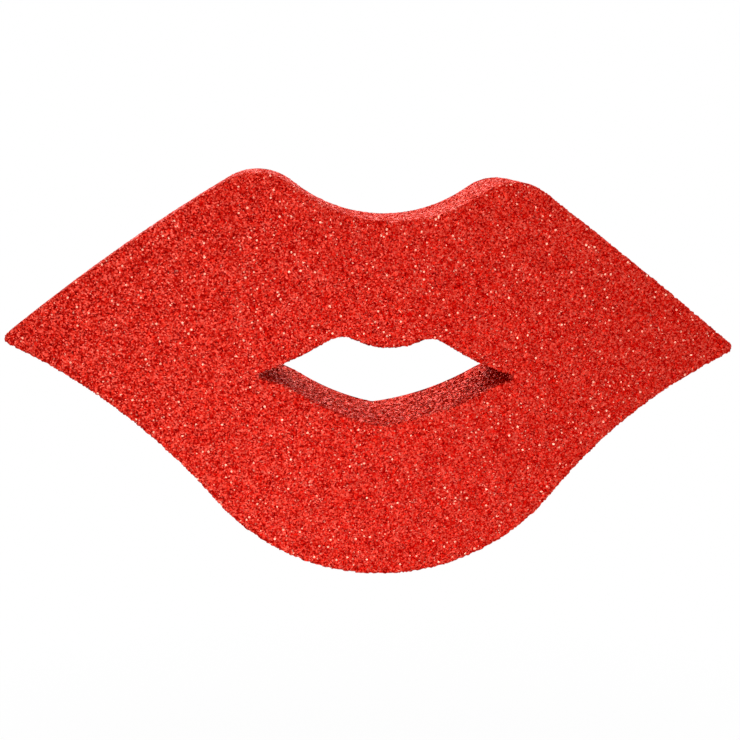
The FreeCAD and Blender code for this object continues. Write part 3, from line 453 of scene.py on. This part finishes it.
def loops_of(edges):
    """Groups boundary edges into closed loops, the one that reaches farthest along X first."""
    left = dict.fromkeys(edges)
    loops = []
    while left:
        first = next(iter(left))
        del left[first]
        loop = [first]
        ends = list(first.verts)
        while ends:
            for edge in ends.pop().link_edges:
                if edge in left:
                    del left[edge]
                    loop.append(edge)
                    ends.extend(edge.verts)
        loops.append(loop)
    return sorted(loops, key=lambda loop: -max(abs(edge.verts[0].co.x) for edge in loop))


def boundary(mesh):
    """The open edges of a bmesh."""
    return [edge for edge in mesh.edges if edge.is_boundary]


def reach_of(loop):
    """The least and the greatest x, y and z in a loop of edges."""
    corners = [vert.co for edge in loop for vert in edge.verts]
    return [(min(axis), max(axis)) for axis in zip(*corners)]


def reached_from(start):
    """Every vertex that edges join to start."""
    reached = {start}
    ends = [start]
    while ends:
        here = ends.pop()
        for edge in here.link_edges:
            there = edge.other_vert(here)
            if there not in reached:
                reached.add(there)
                ends.append(there)
    return reached


def in_jack_wall(face, low, high):
    """Whether a face of the coat stands in the wall of the line jack's opening."""
    middle = face.calc_center_median()
    under = low[0] < middle.x < high[0] and low[1] < middle.y < high[1] and middle.z < low[2]
    return under and abs(face.normal.z) < upright_limit


def coat_side(outer):
    """The coat's outer or inner skin, open at the rear rim and at the line jack."""
    jack_low, jack_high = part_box("line_jack")
    side = bmesh.new()
    side.from_mesh(frame["nodes"]["glitter_coat"].data)
    bmesh.ops.remove_doubles(side, verts=side.verts, dist=coat_same_point)
    rim = [face for face in side.faces if all(abs(vert.co.y) < rim_reach for vert in face.verts)
           or in_jack_wall(face, jack_low, jack_high)]
    bmesh.ops.delete(side, geom=rim, context="FACES")
    outer_skin = reached_from(min(side.verts, key=lambda vert: vert.co.y))
    spare = [vert for vert in side.verts if (vert in outer_skin) != outer]
    bmesh.ops.delete(side, geom=spare, context="VERTS")
    return side


outer_side = coat_side(outer=True)
inner_side = coat_side(outer=False)
inner_rims = loops_of(boundary(inner_side))
mouth_sides = reach_of(inner_rims[1])
jack_sides = reach_of(inner_rims[2])


def over_jack(face):
    """Whether a face of the coat lies across the line jack's opening."""
    middle = face.calc_center_median()
    inside = all(low < place < high for place, (low, high) in zip(middle.xy, jack_sides))
    return inside and middle.z < jack_sides[2][1]


bmesh.ops.holes_fill(outer_side, edges=loops_of(boundary(outer_side))[-1], sides=0)
grown = bmesh.ops.extrude_edge_only(outer_side, edges=boundary(outer_side))["geom"]
rear = [item for item in grown if isinstance(item, bmesh.types.BMVert)]
bmesh.ops.translate(outer_side, verts=rear, vec=(0, spare_depth, 0))
bmesh.ops.triangle_fill(outer_side, edges=boundary(outer_side), use_beauty=True)
bmesh.ops.recalc_face_normals(outer_side, faces=outer_side.faces)
holder = stand("coat_solid", mesh_of("coat_solid", outer_side))
remesh = holder.modifiers.new("flakes", "REMESH")
remesh.mode = "VOXEL"
remesh.voxel_size = flake_pitch

skin = bmesh.new()
skin.from_mesh(worked_out(holder))
bmesh.ops.bisect_plane(skin, geom=skin.verts[:] + skin.edges[:] + skin.faces[:], plane_co=(0, 0, 0),
                       plane_no=(0, 1, 0), clear_outer=True, dist=coat_same_point)
bmesh.ops.delete(skin, geom=[face for face in skin.faces if over_jack(face)], context="FACES")
skin.normal_update()
for vert in skin.verts:
    if vert.co.y < -rim_reach:
        chance = noise.cell_vector(vert.co / shift_grain) * 2 - Vector((1, 1, 1))
        shift = chance * flake_shift / 2
        along = shift - vert.normal * shift.dot(vert.normal)
        height = flake_lift if vert.normal.y < lift_face_limit else wall_flake_lift
        lift = vert.normal * (noise.cell(vert.co / lift_grain) - 0.5) * height
        vert.co += along + lift
        vert.co.y = min(vert.co.y, -rim_reach * 2)
skin.from_mesh(mesh_of("coat_inside", inner_side))
rims = loops_of(boundary(skin))
# Each opening has two rims, one of the outer skin and one of the inner
edge_rims, mouth_rims, jack_rims = (rims[first] + rims[first + 1] for first in (0, 2, 4))
for pair in (edge_rims, mouth_rims):
    bmesh.ops.triangle_fill(skin, edges=pair, use_beauty=True, normal=(0, 1, 0))
bmesh.ops.bridge_loops(skin, edges=jack_rims)
bmesh.ops.triangulate(skin, faces=skin.faces)
skin.normal_update()

# The flakes' own map: the face laid flat, then the two outer walls and the two mouth walls as strips
map_width = 0.25
map_gap = 0.006
map_face_limit = -0.6
wall_squeeze = 0.8
mouth_spare = 0.002
map_scale = 1 / map_width
coat_low, coat_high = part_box("glitter_coat")
strip_height = (coat_high[1] - coat_low[1]) * wall_squeeze * map_scale + map_gap
face_height = (coat_high[2] - coat_low[2]) * map_scale + map_gap
mouth_left = mouth_sides[0][0] - mouth_spare
mouth_right = mouth_sides[0][1] + mouth_spare
mouth_bottom = mouth_sides[2][0] - mouth_spare
mouth_top = mouth_sides[2][1] + mouth_spare
mouth_row = (mouth_right - mouth_left) * map_scale + map_gap
layer = skin.loops.layers.uv.new("OFBake")
for face in skin.faces:
    middle = face.calc_center_median()
    in_mouth = mouth_left < middle.x < mouth_right and mouth_bottom < middle.z < mouth_top
    upward = face.normal.z > 0
    for corner in face.loops:
        x, y, z = corner.vert.co
        across = (x - coat_low[0]) * map_scale
        deep = (y - coat_low[1]) * wall_squeeze * map_scale
        if face.normal.y < map_face_limit:
            laid = (across, (z - coat_low[2]) * map_scale)
        elif in_mouth:
            row = 0.0 if upward else mouth_row
            laid = (row + (x - mouth_left) * map_scale, face_height + 2 * strip_height + deep)
        else:
            laid = (across, face_height + (strip_height if upward else 0.0) + deep)
        corner[layer].uv = (laid[0] + map_gap, laid[1] + map_gap)
coat = stand("flake_coat", mesh_of("flake_coat", skin))

# The film: the flakes' own red, but each flake's brightness, from deep red to light red and paler as it
# brightens, is a painted reflection that stands in for how its tilt catches the light
flake_size = 0.00041
patch_size = 0.008
flake_share = 0.9
patch_share = 0.2
shine_drop = 0.05
deepest_red = 0.27
red_swing = 0.58
most_green = 0.149
green_power = 3.3
most_blue = 0.11
blue_power = 4
glitter, root = new_finish("glitter")
place = root.node("ShaderNodeTexCoord", {}, {})["Object"]
flakes = root.node("ShaderNodeTexVoronoi", {}, {"Vector": place, "Scale": 1 / flake_size})["Color"]
chances = root.node("ShaderNodeSeparateColor", {}, {"Color": flakes})
patch = speckle(root, patch_size, detail=2.0)
painted_flake_shine = chances["Red"] * flake_share + patch * patch_share - shine_drop
film = root.node("ShaderNodeCombineColor", {}, {"Red": painted_flake_shine * red_swing + deepest_red,
                                                "Green": painted_flake_shine ** green_power * most_green,
                                                "Blue": painted_flake_shine ** blue_power * most_blue})

# The painted glints: about one flake in sixty, more in some patches, and a few larger round spots are
# painted pale pink in the base colour as painted highlights
painted_glint_pink = (1.0, 0.50, 0.37)
glint_chance = 0.986
glint_patch = 0.004
glint_steepness = 80
spot_pitch = 0.0009
spot_chance = 0.979
spot_radius = 0.4
spots = root.node("ShaderNodeTexVoronoi", {}, {"Vector": place, "Scale": 1 / spot_pitch})
lucky = root.node("ShaderNodeSeparateColor", {}, {"Color": spots["Color"]})["Red"]
painted_glint_spot = (lucky > spot_chance) * (spots["Distance"] < spot_radius)
painted_glint_share = (chances["Green"] - glint_chance + patch * glint_patch) * glint_steepness
# Painted highlight: the glinting flakes and spots take a pale pink base colour
colour = between(root, root.maths("MAXIMUM", painted_glint_share, painted_glint_spot), film, tint(painted_glint_pink))

# The lie of the flakes: they lean at random, more on the walls than on the face, which is duller
wall_lean = 1.5
face_steadiness = 0.7
film_roughness = 0.25
roughness_swing = 0.25
face_roughness = 0.3
sheen_pink = (1.0, 0.53, 0.50)
level = root.node("ShaderNodeNewGeometry", {}, {})["Normal"]
forward = root.node("ShaderNodeSeparateXYZ", {}, {"Vector": level})["Y"]
facing = forward * forward
own_way = root.node("ShaderNodeVectorMath", {"operation": "SUBTRACT"}, {0: flakes, 1: (0.5, 0.5, 0.5)})
lean = root.node("ShaderNodeVectorMath", {"operation": "SCALE"},
                 {0: own_way, "Scale": wall_lean - facing * face_steadiness})
tilted = root.node("ShaderNodeVectorMath", {"operation": "ADD"}, {0: lean, 1: level})
normal = root.node("ShaderNodeVectorMath", {"operation": "NORMALIZE"}, {0: tilted})
dullness = chances["Blue"] * roughness_swing + film_roughness + facing * face_roughness
surface(root, {"Base Color": colour, "Metallic": 1.0, "Roughness": dullness, "Normal": normal,
               "Specular Tint": tint(sheen_pink), "Coat Weight": 0.02, "Coat Roughness": 0.15})
coat.data.materials.append(glitter)
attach(coat, "case")
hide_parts("glitter_coat")

# Stage
# A pale paper floor well below the hung part, a white surround, four square soft lamps, and the
# camera, a little to the left of the part's middle and above it.

floor_drop = 0.16
floor_size = 6.0
floor_grey = (0.9, 0.9, 0.9)
near_reach = 0.2
far_reach = 0.45
near_white = 0.88
white = (1.0, 1.0, 1.0)
bpy.context.scene.view_settings.view_transform = "Standard"
part_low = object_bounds()[0]
plane = bmesh.new()
bmesh.ops.create_grid(plane, x_segments=1, y_segments=1, size=floor_size)
bmesh.ops.translate(plane, verts=plane.verts, vec=(0, 0, part_low[2] - floor_drop))
floor = stand("floor", mesh_of("floor", plane))


def showing(root):
    """1 on the rays that see the white background: those of the camera, of gloss and of glass."""
    rays = root.node("ShaderNodeLightPath", {}, {})
    seen = root.maths("MAXIMUM", rays["Is Camera Ray"], rays["Is Glossy Ray"])
    return root.maths("MAXIMUM", seen, rays["Is Transmission Ray"])


paper, root = new_finish("floor_paper")
matte = root.node("ShaderNodeBsdfDiffuse", {}, {"Color": tint(floor_grey)})
glow = root.node("ShaderNodeEmission", {}, {"Color": tint(white), "Strength": 1.0})
place = root.node("ShaderNodeTexCoord", {}, {})["Object"]
away = root.node("ShaderNodeVectorMath", {"operation": "LENGTH"}, {0: place})["Value"]
far = root.node("ShaderNodeMapRange", {}, {"Value": away, "From Min": near_reach, "From Max": far_reach,
                                           "To Min": near_white, "To Max": 1.0})
mixed = root.node("ShaderNodeMixShader", {}, {0: showing(root) * far, 1: matte, 2: glow})
root.node("ShaderNodeOutputMaterial", {}, {"Surface": mixed})
floor.data.materials.append(paper)

ambient = 0.55
world = bpy.data.worlds.new("surround")
bpy.context.scene.world = world
world.use_nodes = True
world.node_tree.nodes.clear()
root = Wire(world.node_tree)
sky = root.node("ShaderNodeBackground", {}, {"Color": tint(white),
                                             "Strength": showing(root) * (1 - ambient) + ambient})
root.node("ShaderNodeOutputWorld", {}, {"Surface": sky})

# What the lamps and the camera look at, on the front face
target = Vector((-0.0053, -0.040, -0.0318))


def aim(made, azimuth, elevation, distance):
    """Sets a lamp or the camera round the target, in degrees and metres, and points it there."""
    turn = math.radians(azimuth)
    rise = math.radians(elevation)
    way = Vector((math.sin(turn) * math.cos(rise), -math.cos(turn) * math.cos(rise), math.sin(rise)))
    made.location = target + way * distance
    made.rotation_euler = (-way).to_track_quat("-Z", "Y").to_euler()


def lamp(name, azimuth, elevation, distance, size, power):
    """A square soft lamp that looks at the target."""
    light = bpy.data.lights.new(name, "AREA")
    light.size = size
    light.energy = power
    aim(stand(name, light), azimuth, elevation, distance)


lamp("key_lamp", azimuth=-32, elevation=60, distance=1.2, size=0.7, power=1.6)
lamp("fill_lamp", azimuth=38, elevation=55, distance=1.4, size=0.9, power=3.0)
lamp("low_lamp", azimuth=-7, elevation=-26, distance=0.22, size=0.1, power=0.32)
lamp("back_lamp", azimuth=185, elevation=20, distance=1.4, size=0.9, power=6.8)

lens = bpy.data.cameras.new("camera")
lens.lens = 67.7
lens.sensor_width = 36.0
lens.clip_start = 0.01
camera = stand("camera", lens)
aim(camera, azimuth=-3.8, elevation=10.0, distance=0.4407)
bpy.context.scene.camera = camera
